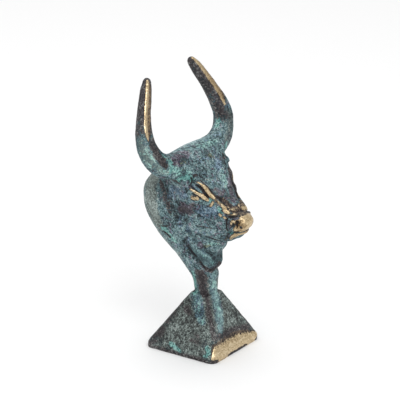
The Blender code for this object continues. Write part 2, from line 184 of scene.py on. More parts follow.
MUZZLE = {
    "thin edge over the pad": stroke(
        (-6.3, -18.5, 41.7, 0.5), (-4.5, -19.6, 41.5, 0.7), (-2.5, -20.3, 41.6, 0.6),
        rise=0.2, worn=0.8),
    "browned bridge": stroke(
        (-4.6, -16.9, 44.4, 2.0), (-4.0, -18.6, 43.5, 2.2), (0.0, -19.4, 42.9, 2.4),
        worn=0.5, dark=0.9),
    "wrinkle lump": stroke((-3.6, -19.0, 42.8, 1.7), rise=0.35, worn=0.46),
    # Real wear on the lump, with a painted glint laid as pale
    "pale middle lump": stroke(
        (-1.7, -18.0, 43.9, 1.1), (-0.1, -19.2, 43.5, 1.1), rise=0.3, worn=0.62, pale=1.0,
        sides="left"),
    "rubbed wrinkle lump": stroke(
        (-1.6, -20.0, 42.4, 1.9), (-3.6, -19.6, 41.8, 2.1), rise=0.9, worn=0.95, sides="left"),
    "hollow of the left face side": stroke(
        (-7.6, -11.4, 50.2, 1.8), (-7.2, -12.6, 48.6, 2.4), (-6.8, -13.6, 47.2, 2.4),
        (-5.8, -15.0, 45.8, 2.0), (-4.9, -16.1, 45.0, 1.4), rise=-0.8, sides="left"),
    "pad crease": stroke(
        (-6.1, -17.9, 40.6, 0.6), (-5.0, -19.4, 40.5, 0.75), (-3.9, -20.2, 40.4, 0.65),
        rise=-0.3, dark=0.95),
    "browned middle of the pad crease": stroke(
        (-4.2, -19.9, 40.8, 1.3), (-1.7, -21.0, 41.0, 1.7), (0.0, -21.8, 41.1, 1.8), rise=0.45,
        worn=0.45, even=0.3),
    "middle of the pad crease": stroke(
        (-3.9, -20.2, 40.4, 0.45), (-1.7, -21.2, 40.7, 0.45), (0.0, -21.9, 40.8, 0.45),
        tarnish=1.0, soil=0.45),
    "mauve top of the pad": stroke(
        (-5.8, -19.9, 40.1, 0.9), (-5.0, -21.2, 40.2, 1.0), (-4.3, -21.8, 40.2, 0.7),
        mauve=1.0, dark=0.35, soil=0.6),
    "nose pad": stroke(
        (-4.2, -22.3, 38.6, 2.9), (0.0, -24.5, 38.2, 4.6), worn=1.0, even=0.8),
    "upper lip": stroke(
        (-5.0, -21.8, 35.4, 2.4), (0.0, -24.2, 34.8, 3.2), worn=1.0, even=0.8),
    # Painted darker reflection: a brown band across the rubbed pad
    "brown band on the pad": stroke(
        (-4.9, -21.2, 38.6, 1.0), (-4.4, -22.2, 38.8, 1.1), (-3.7, -23.6, 39.0, 0.9), rise=-0.25,
        tarnish=1.0),
    "browned pad": stroke(
        (-5.0, -22.0, 36.6, 1.8), (-4.3, -23.2, 37.2, 1.7), (-3.0, -24.4, 36.6, 1.3), tarnish=0.75),
    "browned under the pad": stroke(
        (-4.6, -22.4, 34.2, 1.2), (-2.6, -23.8, 33.8, 1.2), tarnish=0.8),
    "rubbed corner of the lips": stroke(
        (-4.7, -20.4, 32.6, 1.3), (-3.7, -22.0, 33.2, 1.7), (0.0, -23.6, 33.2, 1.7), worn=0.9,
        even=1.0, tarnish=0.5),
    "swell of the pad": stroke((-2.6, -24.2, 38.0, 2.4), (0.0, -25.0, 38.0, 2.6), rise=0.3),
    "nostril rim": stroke(
        (-6.5, -19.4, 37.1, 0.6), (-7.0, -19.7, 38.3, 0.8), (-6.7, -20.1, 39.2, 0.8),
        (-6.1, -20.7, 38.9, 0.9), (-5.2, -20.6, 37.9, 0.7), rise=0.5, worn=1.0),
    "nostril": stroke(
        (-5.5, -21.2, 37.4, 0.7), (-5.4, -21.6, 36.7, 0.9), (-5.8, -21.4, 36.0, 0.7),
        rise=-0.4, dark=0.9, tarnish=1.0),
    "notch of the upper lip": stroke(
        (-4.7, -23.2, 36.1, 0.9), (-4.3, -23.6, 35.6, 0.7), rise=-0.6, tarnish=1.0, soil=0.5),
    "mauve side of the muzzle": stroke(
        (-6.3, -18.2, 38.2, 1.3), (-6.6, -18.6, 35.7, 1.6), mauve=1.0, dark=0.25),
    "cheek crease": stroke(
        (-6.3, -17.3, 39.7, 0.45), (-6.6, -17.1, 38.2, 0.55), (-6.5, -17.0, 36.3, 0.55),
        (-6.1, -16.9, 34.7, 0.5), (-5.6, -17.2, 33.6, 0.4), rise=-0.35, dark=0.9),
    "green mouth corner": stroke(
        (-5.0, -17.8, 32.9, 1.0), (-4.6, -19.7, 32.9, 0.9), green=0.9, rise=-0.15),
    "lower lip": stroke(
        (-3.8, -17.3, 29.5, 0.9), (-4.4, -18.9, 31.0, 1.2), (-4.2, -20.3, 31.9, 1.4),
        (-3.4, -21.6, 32.4, 1.2), (0.0, -22.6, 32.2, 1.1), rise=0.3, worn=1.0, even=0.6),
    "mouth": stroke(
        (-4.6, -20.6, 33.0, 0.4), (-3.6, -22.0, 33.3, 0.45), (-1.3, -23.4, 33.4, 0.45),
        (0.0, -23.7, 33.4, 0.45), rise=-0.2, soil=0.7, tarnish=1.0),
    "philtrum": stroke((0.0, -24.2, 34.6, 0.7), (0.0, -24.8, 37.4, 0.7), rise=-0.3),
    "dark chin": stroke(
        (-5.3, -16.4, 30.2, 1.1), (-4.4, -15.0, 28.6, 1.0), dark=0.7, olive=0.8),
    "dark forehead spots": stroke(
        (-1.6, -12.6, 50.5, 1.2), (-1.7, -13.4, 49.3, 1.4), (-0.9, -14.5, 47.9, 1.1), dark=0.5,
        sides="right"),
}

NECK = {
    "jaw line": stroke(
        (-8.4, -6.9, 29.9, 0.35), (-6.4, -8.8, 28.9, 0.5), (-4.3, -11.1, 27.7, 0.55),
        (-3.6, -14.3, 27.7, 0.55), (-2.7, -16.3, 28.1, 0.45), rise=-0.25, dark=0.9),
    # Painted shade: the throat's underside is laid darker in its own colour
    "even throat": stroke(
        (-7.6, -2.6, 21.6, 4.2), (-6.2, -5.0, 18.4, 4.6), (-3.4, -7.6, 16.2, 4.4),
        (0.0, -8.6, 17.6, 4.2), even=0.9, deep=1.0),
    "green under the jaw": stroke(
        (-6.1, -7.6, 26.1, 0.9), (-5.0, -8.9, 25.8, 0.9), (-3.6, -11.0, 25.8, 0.8), green=0.7),
    "olive throat": stroke((-6.9, -6.0, 24.6, 1.4), (-5.9, -7.4, 25.4, 1.3), olive=1.0),
    "pink throat": stroke((-8.4, -4.0, 26.0, 1.4), (-7.7, -4.6, 24.2, 1.2), mauve=0.9, dark=0.3),
    "throat groove": stroke(
        (-8.5, 2.0, 22.9, 0.9), (-7.3, 0.1, 20.1, 1.1), (-6.8, -2.7, 17.7, 1.2),
        (-4.9, -3.6, 14.5, 1.3), (-2.8, -5.8, 12.0, 1.2), rise=-0.2, dark=0.25),
    "throat roll": stroke(
        (-8.7, -3.0, 22.2, 1.2), (-7.1, -5.1, 19.8, 1.6), (-5.1, -6.9, 17.6, 1.7),
        (-3.2, -8.2, 15.9, 1.3), rise=0.35, green=0.35),
    # Painted highlight along the upper edge of the throat roll
    "pale edge of the roll": stroke(
        (-8.4, -3.6, 22.6, 0.6), (-6.6, -5.6, 20.4, 0.7), (-4.6, -7.0, 18.6, 0.6), pale=0.9),
    "crease over the roll": stroke(
        (-8.0, -4.1, 23.2, 0.5), (-6.0, -5.9, 21.5, 0.6), (-3.2, -7.2, 19.4, 0.6),
        rise=-0.2, deep=0.8),
    # Painted shadow under the overhanging dewlap, laid as dark oxide
    "dark under the dewlap": stroke(
        (-4.4, -4.2, 13.8, 1.2), (-2.8, -5.8, 11.9, 1.7), (-1.5, -8.2, 12.9, 2.0),
        (0.0, -8.9, 14.6, 1.8), dark=1.0, mauve=0.7),
    "dark nape border": stroke(
        (-10.3, 15.5, 51.9, 1.0), (-10.7, 14.2, 49.5, 1.5), (-11.1, 13.3, 47.0, 1.8),
        (-11.5, 12.0, 43.7, 1.7), (-11.4, 10.5, 41.1, 1.4), (-11.2, 9.6, 38.4, 1.1),
        rise=-0.2, dark=0.62),
    "grey nape": stroke(
        (-10.1, 20.0, 50.4, 5.0), (-11.0, 20.4, 45.0, 6.0), (-11.4, 20.0, 39.0, 6.0),
        (-11.0, 17.5, 33.4, 5.0), (-10.6, 15.2, 30.4, 3.6), grey=1.0, pale=0.75, even=0.7),
    "pale jaw": stroke(
        (-11.8, -2.0, 33.4, 3.6), (-10.2, -7.4, 32.4, 3.6), (-7.4, -10.4, 31.6, 2.6), pale=0.5),
    # Painted highlight on the top of the nape, under the horn
    "pale top of the nape": stroke(
        (-8.6, 22.4, 51.0, 4.2), (-12.0, 16.8, 52.8, 3.0), grey=1.0, pale=1.0, even=1.0),
    "grey back of the neck": stroke(
        (0.0, 27.0, 54.0, 17.0), (0.0, 28.0, 42.0, 19.0), (0.0, 20.0, 26.0, 16.0),
        (0.0, 10.0, 12.0, 12.0), grey=0.75, pale=0.7, even=0.5),
    "purple cheek": stroke(
        (-11.3, 4.2, 40.4, 2.6), (-11.9, 1.2, 42.4, 3.4), (-12.3, -1.6, 41.6, 2.6),
        (-12.6, -4.1, 44.6, 2.4), mauve=0.9, dark=0.4, deep=0.9),
    "blue cheek": stroke(
        (-11.5, -6.6, 43.4, 3.0), (-9.7, -10.5, 42.4, 3.4), (-8.4, -13.4, 42.6, 2.4), blue=1.0),
    "blue behind the eye": stroke(
        (-10.6, 10.0, 45.7, 2.4), (-12.5, 5.4, 50.0, 3.4), (-13.1, 1.8, 49.1, 3.4), blue=0.9,
        dark=0.2),
    "olive behind the eye": stroke((-14.1, 2.7, 52.4, 1.3), olive=1.0),
    "dark under the horn": stroke(
        (-19.6, 4.4, 57.6, 1.6), (-17.6, 3.9, 56.5, 2.0), (-15.7, 2.1, 54.9, 1.6), dark=0.75),
    "green temple": stroke(
        (-20.6, 1.6, 62.6, 1.8), (-18.5, 0.7, 61.1, 2.6), (-16.4, -0.4, 59.3, 2.8),
        (-14.2, -1.7, 59.8, 2.4), green=0.75, even=0.4),
    "deep green behind the brow": stroke(
        (-15.9, 2.6, 55.2, 1.8), (-16.3, 0.2, 57.8, 2.2), (-14.5, -1.8, 58.2, 2.4),
        (-13.2, -3.2, 56.9, 1.8), green=0.85, deep=0.7, even=0.5),
    "pale blue brow": stroke(
        (-5.7, -3.2, 61.1, 2.2), (-4.5, -5.0, 59.6, 2.6), (-4.2, -7.2, 57.2, 2.2), blue=1.0,
        pale=0.6, sides="left"),
    "pale green brow": stroke(
        (-4.0, -8.2, 56.2, 2.4), (-2.1, -9.8, 54.3, 3.0), (-1.0, -11.4, 52.0, 2.0), green=0.6,
        pale=0.4, sides="left"),
    "mauve brow": stroke(
        (-6.4, -9.4, 53.6, 1.6), (-4.6, -12.0, 51.0, 1.5), mauve=0.9, sides="left"),
    "green round the slot": stroke(
        (-10.8, 14.8, 30.2, 2.0), (-11.1, 11.9, 29.5, 2.0), (-10.6, 10.1, 26.9, 2.0),
        (-10.3, 7.6, 25.0, 1.6), green=0.9, sides="right"),
    "slot": stroke(
        (-10.5, 13.6, 28.2, 0.8), (-10.6, 12.0, 27.4, 1.0), (-10.4, 10.4, 26.2, 0.9),
        rise=-0.5, dark=0.95, sides="right"),
    "hair crack": stroke(
        (-10.0, 16.9, 29.9, 0.5), (-11.6, 10.4, 31.9, 0.5), rise=-0.2, dark=0.7, sides="right"),
    "middle crack": stroke(
        (-11.6, 6.7, 33.6, 0.5), (-10.9, 2.9, 34.3, 0.5), rise=-0.2, dark=0.7, sides="right"),
    "jaw crack": stroke(
        (-11.8, -4.6, 35.3, 0.45), (-11.0, -8.3, 35.3, 0.45), (-8.9, -11.1, 34.6, 0.4),
        rise=-0.2, dark=0.7, sides="right"),
    "dark crown": stroke(
        (-20.0, 2.2, 66.0, 2.2), (-17.7, 1.9, 66.1, 3.2), (-14.0, 2.6, 66.2, 3.8),
        (-10.7, 3.4, 66.4, 3.6), (-7.6, 3.0, 65.8, 2.6), deep=0.5, mauve=0.7, dark=0.12,
        sides="right"),
    # Painted highlight along the crown's top edge
    "pale rim of the crown": stroke(
        (4.4, 8.2, 67.4, 1.9), (-1.7, 8.4, 67.4, 2.0), (-8.5, 7.6, 67.2, 2.2),
        (-13.6, 6.2, 67.6, 2.0), pale=0.9, even=0.5, sides="left"),
    "green crown": stroke(
        (1.4, 4.4, 66.8, 2.6), (-1.8, 3.4, 66.6, 3.4), (-7.0, 2.6, 66.2, 3.6),
        (-12.0, 2.4, 66.0, 3.0), green=0.5, sides="left"),
    "olive crown": stroke(
        (-2.5, -1.1, 64.0, 1.8), (-4.4, -3.0, 61.5, 1.8), olive=0.8, deep=0.3, sides="left"),
    # Painted shade on the far side of the brow, where the forehead turns away
    "dark far brow": stroke(
        (-4.7, -11.2, 52.0, 1.9), (-3.2, -13.0, 49.6, 2.4), (-2.0, -14.8, 47.6, 2.2),
        (-2.6, -16.6, 45.6, 1.8), deep=0.6, mauve=0.6, dark=0.28, sides="left"),
    "dark left eye socket": stroke(
        (-12.6, -3.4, 57.6, 1.8), (-11.8, -6.0, 55.6, 2.6), (-9.8, -9.0, 53.0, 2.8),
        (-8.0, -12.0, 49.6, 2.6), (-7.0, -14.6, 46.4, 2.0), dark=0.75, deep=0.3, sides="left"),
    "hatched forehead": stroke(
        (-5.0, 0.0, 64.0, 5.0), (0.0, -2.9, 61.9, 7.0), (0.0, -6.3, 58.5, 7.0),
        (0.0, -10.0, 54.0, 5.0), hatch=1.0),
    # The far ear tip is darkened as painted shade
    "left ear tip": stroke(
        (-13.0, -2.2, 60.4, 0.9), (-13.2, -3.8, 59.2, 1.1), (-12.8, -5.0, 58.0, 0.8), rise=1.0,
        dark=0.9, sides="left"),
}

HORNS = {
    "rubbed front of the right horn": stroke(
        (-18.1, 16.2, 99.2, 0.9), (-19.6, 14.9, 97.2, 1.3), (-21.4, 13.9, 94.4, 1.4),
        (-23.4, 12.8, 91.3, 1.5), (-25.3, 11.7, 88.2, 1.5), (-27.0, 10.5, 85.3, 1.5),
        (-28.7, 9.3, 82.4, 1.4), (-30.0, 7.9, 79.2, 1.1), (-30.4, 7.2, 77.6, 0.6),
        rise=0.12, worn=1.0, even=0.7, sides="right"),
    # Browner brass beside the rubbed stripe: partly tarnishing, partly a painted darker reflection
    # on the horn's facet
    "browned front of the right horn": stroke(
        (-17.6, 15.7, 98.0, 0.9), (-19.3, 14.1, 94.4, 1.5), (-21.4, 12.9, 91.0, 1.8),
        (-23.4, 11.8, 87.8, 1.9), (-25.1, 10.7, 84.8, 1.9), (-26.9, 9.4, 81.8, 1.7),
        (-28.4, 8.1, 79.2, 1.1), worn=0.6, tarnish=1.0, sides="right"),
    "rubbed front of the left horn": stroke(
        (-16.5, 16.4, 100.8, 0.9), (-18.4, 15.1, 98.3, 1.4), (-20.5, 13.9, 95.2, 1.6),
        (-22.5, 12.6, 91.4, 1.5), (-24.7, 11.4, 87.6, 1.4), (-26.6, 9.8, 83.5, 1.3),
        (-27.5, 8.4, 80.0, 1.1), (-28.0, 7.4, 77.8, 0.7), rise=0.12, worn=1.0, even=0.7,
        sides="left"),
    # Browner brass beside the rubbed stripe: partly tarnishing, partly a painted darker reflection
    # on the horn's facet
    "browned front of the left horn": stroke(
        (-19.6, 15.4, 98.6, 1.3), (-22.2, 13.9, 94.9, 1.9), (-24.0, 12.6, 91.2, 2.2),
        (-26.0, 11.1, 87.0, 2.1), (-27.6, 9.5, 83.0, 1.8), (-28.5, 8.0, 79.6, 1.2),
        worn=0.66, tarnish=0.8, sides="left"),
    "dark horn": stroke(
        (-17.6, 17.3, 98.5, 7.0), (-19.4, 16.4, 95.2, 7.5), (-22.4, 14.9, 90.6, 8.0),
        (-25.7, 13.1, 84.6, 8.0), (-27.0, 11.7, 80.8, 6.8), dark=1.0),
    "dark inside of the horn": stroke(
        (-24.8, 11.2, 80.0, 3.6), (-25.6, 8.8, 76.0, 3.6), (-25.6, 6.6, 72.0, 3.2),
        dark=0.95),
    "browned outside of the horn": stroke(
        (-28.8, 11.6, 79.0, 6.4), (-29.6, 10.0, 75.5, 5.0), dark=0.55),
    "dark horn front": stroke(
        (-29.0, 6.0, 75.4, 2.9), (-27.8, 4.8, 71.4, 2.9), (-26.2, 3.6, 68.0, 2.7),
        (-24.4, 2.6, 65.2, 1.9), dark=1.0, sides="right"),
    "pale outside of the horn": stroke(
        (-33.0, 9.4, 76.8, 3.0), (-33.4, 8.4, 73.4, 4.4), (-32.6, 6.4, 70.0, 4.4),
        (-30.1, 4.0, 66.2, 3.6), (-26.3, 2.5, 63.0, 2.8), grey=0.6, green=0.35, pale=0.45,
        even=0.8, sides="right"),
    "green inside the root": stroke(
        (-21.6, 2.6, 66.2, 1.5), (-20.8, 1.8, 63.6, 2.0), (-22.6, 1.8, 61.8, 1.6), green=1.0,
        sides="right"),
    "green flecks on the horn": stroke(
        (-26.9, 5.2, 73.4, 1.1), (-25.4, 4.6, 70.4, 1.0), (-23.4, 3.8, 67.6, 1.1), green=0.75,
        sides="right"),
    "green inside of the horn": stroke(
        (-25.0, 8.0, 74.6, 1.6), (-23.0, 7.4, 71.6, 2.0), (-21.0, 7.2, 69.6, 1.5), green=0.95,
        sides="left"),
    "grey foot of the left horn": stroke(
        (-28.6, 6.2, 72.0, 5.4), (-24.4, 4.4, 66.4, 5.6), (-19.0, 2.6, 62.6, 4.4), grey=0.6,
        deep=0.8, sides="left"),
}

FOOT = {
    "grey plinth": stroke(
        (0.0, 0.0, -10.0, 26.0), (0.0, 0.0, -24.0, 40.0), grey=0.95, deep=0.3),
    "dark stem": stroke(
        (-5.9, -1.4, 11.2, 2.0), (-5.2, -3.0, 9.2, 3.3), (-4.7, -2.8, 5.2, 3.3),
        (-4.4, -3.4, 1.6, 2.9), (-4.5, -5.0, -0.8, 1.6), dark=0.95, deep=0.4, even=0.45,
        sides="right"),
    "dark stem behind": stroke(
        (-3.0, 4.0, 10.0, 4.0), (-3.0, 4.0, 1.0, 4.0), dark=0.7, sides="left"),
    "teal neck of the plinth": stroke(
        (-3.0, 1.5, 2.0, 4.0), (-6.9, -2.0, -3.0, 3.6), (-9.0, -4.6, -6.8, 3.2), teal=1.0,
        even=0.5, facing=SIDE),
    "dark arris": stroke(
        (-4.3, -5.0, 0.0, 1.3), (-6.4, -7.3, -2.6, 1.3), (-8.4, -9.0, -5.5, 1.9),
        (-9.5, -10.8, -8.4, 1.5), (-11.2, -13.1, -12.4, 2.0), (-12.6, -15.2, -15.6, 1.8),
        dark=0.8, mauve=0.8, sides="right"),
    "dark left arris": stroke(
        (-4.5, -5.4, 0.0, 1.4), (-9.7, -10.6, -8.4, 1.6), (-15.0, -16.6, -18.6, 1.6), dark=0.8,
        sides="left"),
    "green side of the stem": stroke(
        (-5.3, 1.6, 10.2, 1.5), (-4.6, 1.4, 8.0, 1.5), (-3.9, 1.4, 3.9, 1.6),
        (-4.6, 1.2, 0.6, 1.8), green=0.9, sides="right"),
    "pale side of the stem": stroke(
        (-1.9, -7.4, 9.6, 1.7), (-1.8, -7.3, 5.2, 2.2), (-1.0, -6.9, 1.2, 2.8), green=0.4,
        pale=0.6, teal=1.0, even=0.8, sides="right"),
    "pale streak": stroke(
        (-0.9, -7.4, 0.4, 3.2), (-1.5, -8.3, -2.0, 3.7), (-2.5, -9.9, -5.1, 3.9),
        (-3.9, -11.4, -8.1, 3.6), (-5.4, -12.9, -11.1, 2.9), (-6.9, -14.4, -14.0, 1.8),
        green=0.3, teal=1.0, pale=0.55, even=1.0, sides="right", facing=FRONT),
    "blue shoulder": stroke(
        (-5.4, -0.2, -0.6, 2.2), (-6.9, -2.0, -3.0, 2.8), (-8.4, -3.8, -5.6, 3.0),
        (-10.2, -6.0, -8.4, 2.6), (-11.0, -7.7, -9.8, 1.8), green=0.4, teal=1.0, blue=0.35,
        deep=0.35, sides="right", facing=SIDE),
    "dark side corner": stroke(
        (-17.5, 16.6, -22.0, 5.5), (-15.5, 14.0, -18.0, 5.0), (-12.0, 10.4, -11.5, 3.5),
        (-8.0, 6.4, -5.0, 2.0), dark=0.72, deep=0.5, facing=SIDE),
    "dark side blotch": stroke(
        (-9.0, 2.7, -6.1, 2.0), (-9.6, 0.4, -7.6, 1.8), dark=0.8, facing=SIDE),
    "dark side patches": stroke(
        (-15.4, -4.9, -17.3, 2.0), (-15.4, -9.2, -17.2, 1.8), (-14.0, -5.5, -14.8, 1.8),
        dark=0.5, facing=SIDE),
    "green side flecks": stroke(
        (-17.6, 5.4, -21.0, 1.5), (-17.9, 2.5, -21.6, 1.7), (-18.5, -0.6, -22.8, 1.3),
        green=0.9, facing=SIDE),
    "green corner flecks": stroke(
        (-16.2, -13.2, -18.7, 1.5), (-17.1, -14.8, -20.4, 1.6), (-18.1, -13.7, -22.2, 1.4),
        green=0.8, facing=SIDE),
    "dark over the rubbed edge": stroke(
        (-11.6, -14.6, -15.2, 1.8), (-6.0, -15.2, -15.8, 2.4), (0.0, -15.3, -15.9, 2.6),
        dark=0.8, facing=FRONT, sides="right"),
    "dark over the rubbed edge, left": stroke(
        (0.0, -15.3, -15.9, 2.6), (-6.0, -15.8, -17.0, 2.8), (-12.0, -16.4, -18.4, 2.4),
        dark=0.75, facing=FRONT, sides="left"),
    "rubbed edge": stroke(
        (-16.6, -18.2, -23.2, 7.4), (-12.0, -18.2, -23.2, 7.6), (-6.0, -18.2, -23.2, 7.9),
        (0.0, -18.2, -23.2, 8.0), worn=1.0, even=0.3, facing=FRONT, sides="right"),
    "rubbed edge, left": stroke(
        (0.0, -18.2, -23.2, 8.0), (-5.0, -18.2, -23.2, 7.0), (-10.0, -18.2, -23.2, 5.2),
        (-15.2, -18.2, -23.2, 3.6), worn=1.0, even=0.3, facing=FRONT, sides="left"),
    "dark foot": stroke(
        (-18.4, 18.4, -24.4, 2.0), (-18.4, -18.4, -24.5, 1.6), (0.0, -18.4, -24.7, 1.5), dark=0.9,
        soil=1.0),
    "dark foot behind": stroke((-18.4, 18.4, -24.6, 2.0), (0.0, 18.4, -24.6, 2.0), dark=0.9),
}

GROUPS = (EYE, LEFT_EYE, MUZZLE, NECK, HORNS, FOOT)
MIRRORED = np.array((-1.0, 1.0, 1.0, 1.0))


def curve_through(points, steps):
    """Points on a smooth curve through the given ones, steps to a span."""
    points = [np.array(p, float) for p in points]
    if len(points) == 1:
        return [points[0], points[0] + (0.01, 0.0, 0.0, 0.0)]
    ends = [2 * points[0] - points[1]] + points + [2 * points[-1] - points[-2]]
    line = []
    for a, b, c, d in zip(ends, ends[1:], ends[2:], ends[3:]):
        for t in np.arange(steps) / steps:
            bend = (2 * a - 5 * b + 4 * c - d) * t**2 + (3 * b - a - 3 * c + d) * t**3
            line.append(b + 0.5 * ((c - a) * t + bend))
    return line + [points[-1]]


def nearness(line, places):
    """One at a line's middle, falling ever faster to nothing at its half width."""
    reach = np.ones(len(places))
    for a, b in zip(line, line[1:]):
        step = b[:3] - a[:3]
        share = np.clip((places - a[:3]) @ step / (step @ step), 0.0, 1.0)
        away = np.linalg.norm(places - a[:3] - share[:, None] * step, axis=1)
        reach = np.minimum(reach, away / (a[3] + share * (b[3] - a[3])))
    return 1 - reach * reach


def laid(mark, mesh):
    """How much of a stroke each vertex of the mesh gets, from nothing to one."""
    places = places_of(mesh) / UNIT - (0.0, 0.0, PLINTH)
    amount = np.zeros(len(places))
    right = np.array(curve_through(mark.points, 4))
    lines = {"right": [right], "left": [right * MIRRORED], "both": [right, right * MIRRORED]}
    for line in lines[mark.sides]:
        widest = line[:, 3].max()
        inside = np.all(places > line[:, :3].min(0) - widest, axis=1)
        inside &= np.all(places < line[:, :3].max(0) + widest, axis=1)
        amount[inside] = np.maximum(amount[inside], nearness(line, places[inside]))
    if mark.facing:
        ahead = normals_of(mesh) @ np.array(mark.facing)
        amount *= np.clip((ahead - FACING_FROM) / FACING_OVER, 0.0, 1.0)
    return amount


def fresh_mesh(thing):
    """The thing's mesh as its modifiers make it."""
    graph = bpy.context.evaluated_depsgraph_get()
    return bpy.data.meshes.new_from_object(thing.evaluated_get(graph))


def places_of(mesh):
    out = np.zeros(len(mesh.vertices) * 3)
    mesh.vertices.foreach_get("co", out)
    return out.reshape(-1, 3)


def normals_of(mesh):
    out = np.zeros(len(mesh.vertices) * 3)
    mesh.vertices.foreach_get("normal", out)
    return out.reshape(-1, 3)


def put_places(mesh, places):
    mesh.vertices.foreach_set("co", places.ravel())
    mesh.update()


def push(mesh, rise):
    """Moves each vertex out along its normal by its rise, in units."""
    put_places(mesh, places_of(mesh) + normals_of(mesh) * (rise * UNIT)[:, None])


def eased(mesh, rounds):
    """The vertices' places, each drawn towards its neighbours' mean."""
    ends = np.zeros(len(mesh.edges) * 2, int)
    mesh.edges.foreach_get("vertices", ends)
    first, second = ends.reshape(-1, 2).T
    places = places_of(mesh)
    count = len(places)
    neighbours = np.bincount(ends, minlength=count)
    for _ in range(rounds):
        for line in places.T:
            total = np.bincount(first, line[second], count)
            total = total + np.bincount(second, line[first], count)
            line += 0.5 * (total / neighbours - line)
    return places


def even_skin(node):
    """A copy of a CAD node's shape with a fine, even skin and eased facets."""
    mesh = bmesh.new()
    mesh.from_mesh(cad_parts[node].data)
    bmesh.ops.remove_doubles(mesh, verts=mesh.verts, dist=1e-6)
    data = bpy.data.meshes.new("cast_bust")
    mesh.to_mesh(data)
    mesh.free()
    bust = bpy.data.objects.new("cast_bust", data)
    bpy.context.scene.collection.objects.link(bust)
    skin = bust.modifiers.new("skin", "REMESH")
    skin.mode = "VOXEL"
    skin.voxel_size = SKIN_CELL
    bust.data = fresh_mesh(bust)
    bust.modifiers.clear()
    put_places(bust.data, eased(bust.data, EASING))
    return bust


def settled(mark, bust):
    """The stroke, with its thin stretches moved onto the skin."""
    side = -1.0 if mark.sides == "left" else 1.0
    points = []
    for x, y, z, half in mark.points:
        if half < THIN_STROKE:
            skin = bust.closest_point_on_mesh(Vector((x * side, y, z + PLINTH)) * UNIT)[1] / UNIT
            x, y, z = skin.x * side, skin.y, skin.z - PLINTH
        points.append((x, y, z, half))
    return mark._replace(points=points)


def modelled(bust, marks):
    """Raises and cuts the skin along the strokes."""
    for mark in marks:
        if mark.rise:
            push(bust.data, mark.rise * laid(mark, bust.data) ** 2)


def with_fewer_faces(bust, most):
    """Merges faces where the skin is plain, until no more than the most are left."""
    bust.data.calc_loop_triangles()
    fewer = bust.modifiers.new("fewer faces", "DECIMATE")
    fewer.ratio = min(1.0, most / len(bust.data.loop_triangles))
    bust.data = fresh_mesh(bust)
    bust.modifiers.clear()


def cloud(places, size, seed, octaves=3):
    """Soft random values from about -1 to 1, with lumps of a size in units."""
    shift = Vector((13.7, 5.1, 9.3)) * seed
    return np.array(
        [noise.fractal(Vector(p) / (size * UNIT) + shift, 1.0, 2.0, octaves) for p in places]
    )


def cast_surface(bust):
    """The small swells and pits that the mould leaves, and a flat underside."""
    places = places_of(bust.data)
    push(bust.data, sum(height * cloud(places, size, seed) for height, size, seed in SWELLS))
    places = places_of(bust.data)
    places[:, 2] = np.where(places[:, 2] < FLAT_FOOT * UNIT, 0.0, places[:, 2])
    put_places(bust.data, places)


def note(mesh, name, values):
    """Keeps a value for each vertex, which a material reads by its name."""
    attribute = mesh.attributes.new(name, "FLOAT", "POINT")
    attribute.data.foreach_set("value", np.clip(values, 0, 1).astype(np.float32))


def painted(bust, marks):
    """Writes the strokes' masks on the mesh, and how hollow each place is."""
    mesh = bust.data
    for name in MASKS:
        mask = np.zeros(len(mesh.vertices))
        for mark in marks:
            if name in mark.masks:
                mask = np.maximum(mask, mark.masks[name] * laid(mark, mesh))
        note(mesh, name, mask)
    past = places_of(mesh) - eased(mesh, HOLLOW_EASING)
    proud = np.einsum("ij,ij->i", past, normals_of(mesh))
    note(mesh, "hollow", proud / UNIT * -HOLLOW_GAIN)


# A Mix node's sockets for colours, which share their names with others
MIX_FACTOR, MIX_BELOW, MIX_ABOVE = 0, 6, 7
MIX_RESULT = 2


class Signal:
    """An output of a material's node. Arithmetic on it adds Math nodes."""

    def __init__(self, recipe, socket):
        self.recipe = recipe
        self.socket = socket

    def __add__(self, other):
        return self.recipe.maths("ADD", self, other)

    __radd__ = __add__

    def __sub__(self, other):
        return self.recipe.maths("SUBTRACT", self, other)

    def __rsub__(self, other):
        return self.recipe.maths("SUBTRACT", other, self)

    def __mul__(self, other):
        return self.recipe.maths("MULTIPLY", self, other)

    __rmul__ = __mul__

    def ramp(self, low, high):
        """Nothing below low and one above high, smoothly between."""
        return self.recipe.add(
            "ShaderNodeMapRange",
            {"interpolation_type": "SMOOTHSTEP"},
            {"Value": self, "From Min": low, "From Max": high},
        )


